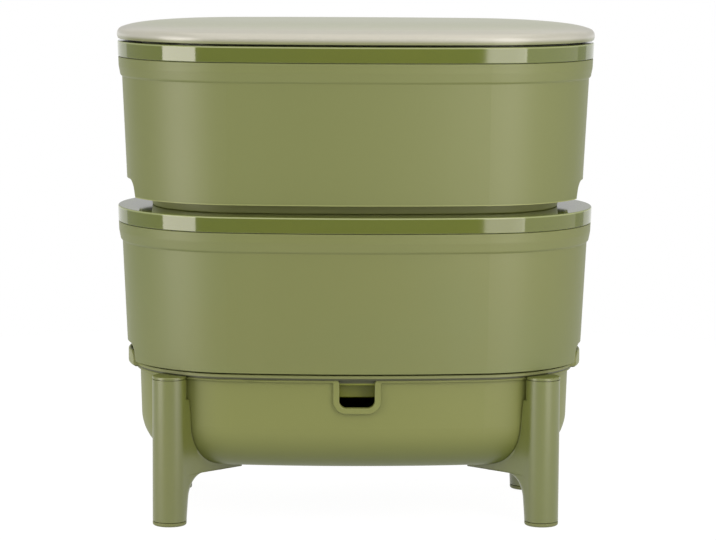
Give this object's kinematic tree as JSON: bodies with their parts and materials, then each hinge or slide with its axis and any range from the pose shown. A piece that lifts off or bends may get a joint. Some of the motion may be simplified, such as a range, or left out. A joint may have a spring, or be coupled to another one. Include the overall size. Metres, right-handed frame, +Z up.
{
  "type": "wormery",
  "caption": "Stacking worm composter with lift-off lid, nesting slotted trays and a liquid collector on legs, for turning kitchen scraps into compost and liquid feed.",
  "frame": {"origin": "floor level, under the middle of the lid's outline", "axes": "+X along the length, -Y the front with the collector's notch, +Z up"},
  "size_m": [0.4948, 0.2818, 0.5127],
  "materials": {
    "lid_green": "satin, fine grain",
    "frame_gloss_green": "polished gloss",
    "tray_matte_green": "matte, fine spark-eroded grain",
    "strainer_green": "satin",
    "collector_matte_green": "matte, fine grain",
    "leg_matte_green": "satin matte",
    "pad_green": "matte, slightly soft",
    "screw_steel": "bright"
  },
  "bodies": {
    "stand": {"collector_base": "collector_matte_green", "seat_ring": "tray_matte_green", "front_left_leg": "leg_matte_green", "front_right_leg": "leg_matte_green", "rear_left_leg": "leg_matte_green", "rear_right_leg": "leg_matte_green", "front_left_foot_pad": "pad_green", "front_right_foot_pad": "pad_green", "rear_left_foot_pad": "pad_green", "rear_right_foot_pad": "pad_green", "leg_screws": "screw_steel"},
    "strainer": {"sump_strainer": "strainer_green"},
    "lower_tier": {"lower_tray": "tray_matte_green", "lower_rim_frame": "frame_gloss_green"},
    "upper_tier": {"upper_tray": "tray_matte_green", "upper_rim_frame": "frame_gloss_green"},
    "cover": {"lid": "lid_green"}
  },
  "joints": [
    {"name": "lower_tier_lift", "type": "slide", "parent": "stand", "child": "lower_tier", "axis": [0, 0, 1], "range_m": [0, 0.16]},
    {"name": "upper_tier_lift", "type": "slide", "parent": "lower_tier", "child": "upper_tier", "axis": [0, 0, 1], "range_m": [0, 0.15]},
    {"name": "lid_lift", "type": "slide", "parent": "upper_tier", "child": "cover", "axis": [0, 0, 1], "range_m": [0, 0.1]},
    {"name": "strainer_lift", "type": "slide", "parent": "stand", "child": "strainer", "axis": [0, 0, 1], "range_m": [0, 0.12]}
  ],
  "couplings": [
    {"joint": "strainer_lift", "follows": "lower_tier_lift", "ratio": 0.75}
  ]
}
